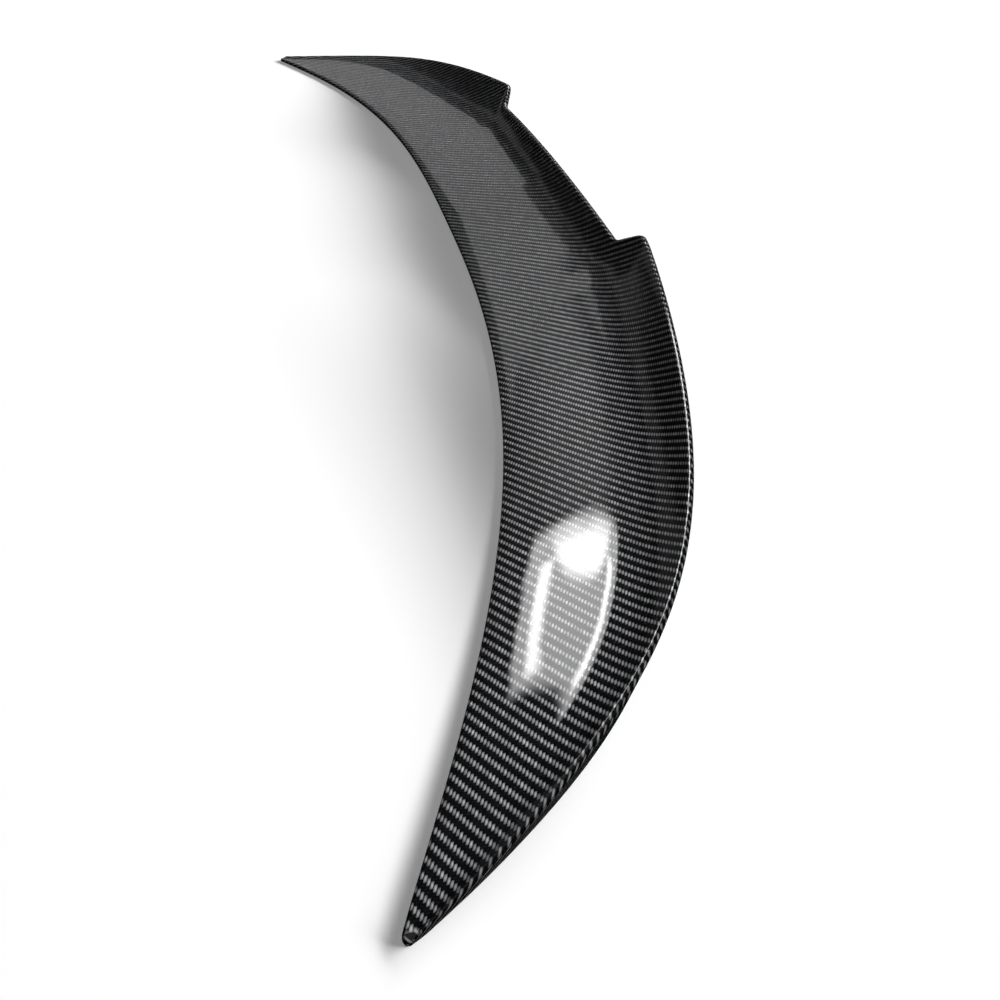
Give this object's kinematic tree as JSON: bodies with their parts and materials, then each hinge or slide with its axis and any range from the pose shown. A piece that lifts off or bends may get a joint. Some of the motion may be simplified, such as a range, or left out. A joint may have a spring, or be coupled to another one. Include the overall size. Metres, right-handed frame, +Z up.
{
  "type": "car rear spoiler",
  "caption": "Crescent-shaped boot-lid spoiler shell in twill carbon fibre, with a kicked-up trailing lip and a central notch between two horns.",
  "frame": {"origin": "middle of the flat bonding land behind the leading edge, on the plane of the boot lid", "axes": "+Z up from the boot lid, +Y towards the rear of the car, X across the car from tip to tip"},
  "size_m": [1.28, 0.2056, 0.0538],
  "materials": {
    "carbon_shell": "clear-coated 2x2 twill carbon fibre"
  },
  "bodies": {
    "root": {"spoiler_shell": "carbon_shell"}
  },
  "joints": []
}
